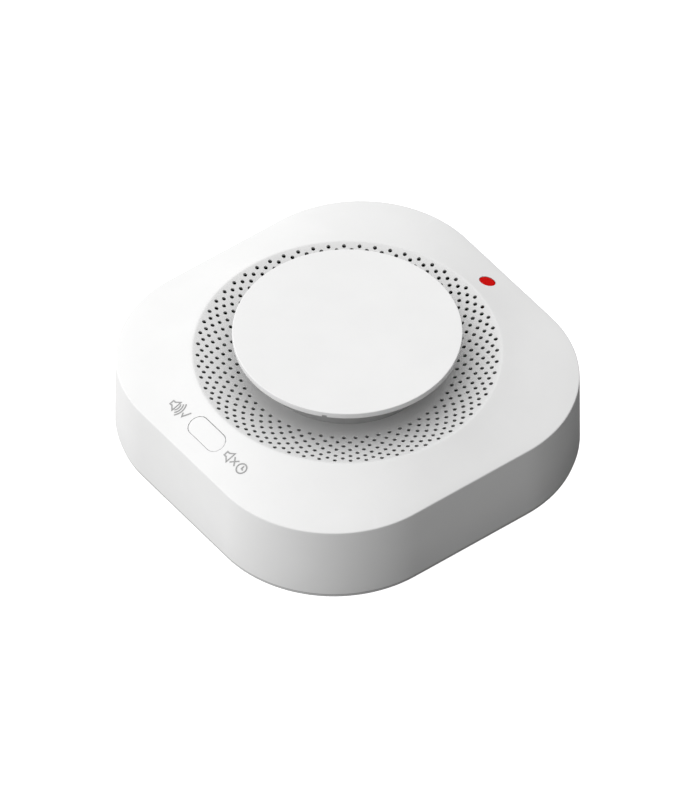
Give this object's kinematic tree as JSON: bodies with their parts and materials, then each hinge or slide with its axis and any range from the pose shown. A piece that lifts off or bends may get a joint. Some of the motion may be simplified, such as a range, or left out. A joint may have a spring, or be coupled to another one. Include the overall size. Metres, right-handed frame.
{
  "type": "smoke detector",
  "caption": "White battery smoke alarm: rounded-square case, perforated dish under a floating disc, flush test button, red indicator, twist-off bracket and a hinged battery door.",
  "frame": {"origin": "centre of the mounting bracket's back face, which goes against the ceiling", "axes": "+Z out of the mounting surface towards the disc, the test button on the -Y side and the red indicator on the +Y side"},
  "size_m": [0.1006, 0.1006, 0.0351],
  "materials": {
    "white_shell": "fine moulded satin",
    "red_lens": "translucent gloss",
    "black_plastic": "matt",
    "steel": "plated",
    "brass": "plain",
    "solder_mask": "satin",
    "rubber_foam": "matt",
    "cell_jacket": "gloss",
    "ceramic_chip": "matt"
  },
  "bodies": {
    "bracket": {"mounting_bracket": "white_shell"},
    "alarm": {"front_cover": "white_shell", "disc_cap": "white_shell", "inlet_ring": "white_shell", "insect_screen": "black_plastic", "led_lens": "red_lens", "rear_cover": "white_shell", "battery_cell_1": "cell_jacket", "battery_cell_2": "cell_jacket", "series_contact": "steel", "positive_contact": "steel", "negative_contact": "steel", "contact_springs": "steel", "main_board": "solder_mask", "board_screws": "steel", "housing_screws": "steel", "labyrinth_base": "black_plastic", "labyrinth_cover": "black_plastic", "chamber_gasket": "rubber_foam", "infrared_emitter": "black_plastic", "photodiode": "black_plastic", "switch_base": "black_plastic", "switch_dome": "steel", "switch_frame": "steel", "indicator_led": "red_lens", "sounder_case": "black_plastic", "piezo_disc": "brass", "sounder_cap": "black_plastic", "sounder_terminals": "steel", "radio_board": "solder_mask", "radio_shield": "steel", "microcontroller": "black_plastic", "detector_chip": "black_plastic", "booster_chip": "black_plastic", "inductor": "black_plastic", "electrolytic_capacitors": "black_plastic", "crystal": "steel", "chip_resistors": "ceramic_chip", "chip_capacitors": "ceramic_chip"},
    "door": {"battery_door": "white_shell"},
    "button": {"test_button": "white_shell"},
    "plunger": {"switch_plunger": "black_plastic"}
  },
  "joints": [
    {"name": "bracket_twist", "type": "hinge", "parent": "bracket", "child": "alarm", "pos_m": [0, 0, 0], "axis": [0, 0, 1], "range_deg": [0, 15]},
    {"name": "battery_door_swing", "type": "hinge", "parent": "alarm", "child": "door", "pos_m": [0, -0.0105, 0.00145], "axis": [-1, 0, 0], "range_deg": [0, 95]},
    {"name": "test_button_press", "type": "slide", "parent": "alarm", "child": "button", "axis": [0, 0, -1], "range_m": [0, 0.0005], "stiffness_N_per_m": 1500, "springref_m": -0.0003},
    {"name": "switch_plunger_press", "type": "slide", "parent": "alarm", "child": "plunger", "axis": [0, 0, -1], "range_m": [0, 0.0005]}
  ],
  "couplings": [
    {"joint": "switch_plunger_press", "follows": "test_button_press", "ratio": 1}
  ]
}
